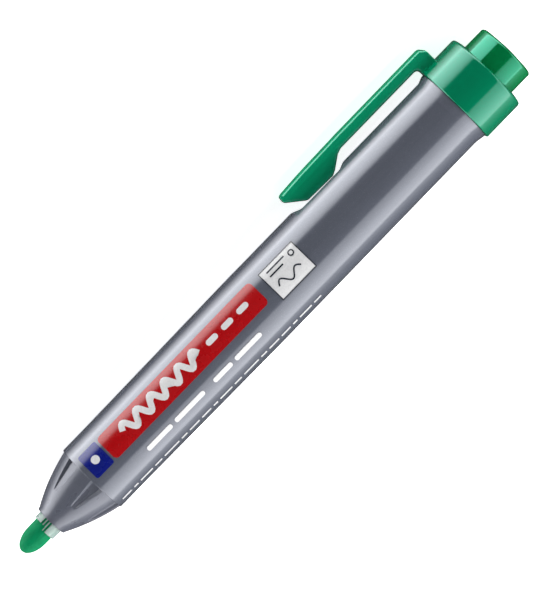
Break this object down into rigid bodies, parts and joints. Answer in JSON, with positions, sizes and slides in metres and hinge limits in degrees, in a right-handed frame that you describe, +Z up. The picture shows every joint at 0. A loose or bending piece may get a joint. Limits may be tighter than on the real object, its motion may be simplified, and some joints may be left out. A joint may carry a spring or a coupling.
{
  "type": "retractable whiteboard marker",
  "caption": "Retractable whiteboard marker with a push button, a spring clip, a fluted nose cone and a bullet nib, shown with the nib out.",
  "frame": {"origin": "middle of the barrel's holder seat, on the pen's axis", "axes": "+X along the pen towards the nib; +Z up with the pen lying on its collar and clip, so the clip points to -Y and down"},
  "size_m": [0.142, 0.0212, 0.0188],
  "materials": {
    "barrel_plastic": "satin silver-grey moulded polypropylene with a faint metallic fleck",
    "nose_plastic": "satin dark grey moulded polypropylene",
    "green_plastic": "smooth semi-gloss green polypropylene",
    "green_button_plastic": "smooth semi-gloss green polypropylene, slightly deeper",
    "guide_plastic": "natural acetal",
    "chamber_plastic": "milky polypropylene",
    "holder_plastic": "milky translucent polypropylene",
    "seal_rubber": "soft thermoplastic elastomer",
    "spring_steel": "drawn stainless wire",
    "nib_felt": "dense polyester fibre soaked with green ink",
    "reservoir_fibre": "bundled polyester fibre soaked with ink",
    "reservoir_film": "thin clear film"
  },
  "bodies": {
    "casing": {"barrel": "barrel_plastic", "nose_cone": "nose_plastic", "rear_collar": "green_plastic", "cam_sleeve": "guide_plastic", "seal_chamber": "chamber_plastic", "slit_seal": "seal_rubber", "nose_seal_ring": "seal_rubber", "spring_seat": "guide_plastic", "return_spring": "spring_steel"},
    "clip_arm": {"clip": "green_plastic"},
    "writing_unit": {"nib": "nib_felt", "nib_holder": "holder_plastic", "piston_seal": "seal_rubber", "cartridge_tube": "chamber_plastic", "ink_reservoir": "reservoir_fibre", "reservoir_film": "reservoir_film", "cartridge_plug": "chamber_plastic", "rotor": "guide_plastic"},
    "push_button": {"plunger": "guide_plastic", "button": "green_button_plastic"}
  },
  "joints": [
    {"name": "button_press", "type": "slide", "parent": "casing", "child": "push_button", "axis": [1, 0, 0], "range_m": [-0.0205, 0.0015]},
    {"name": "nib_slide", "type": "slide", "parent": "casing", "child": "writing_unit", "axis": [1, 0, 0], "range_m": [-0.0205, 0.0015], "deforming": ["return_spring", "slit_seal"]},
    {"name": "clip_flex", "type": "hinge", "parent": "casing", "child": "clip_arm", "pos_m": [-0.05125, -0.00971, -0.00688], "axis": [0, 0.5785, -0.8157], "range_deg": [0, 6], "stiffness_Nm_per_rad": 0.5}
  ],
  "couplings": [
    {"joint": "nib_slide", "follows": "button_press", "ratio": 1}
  ]
}
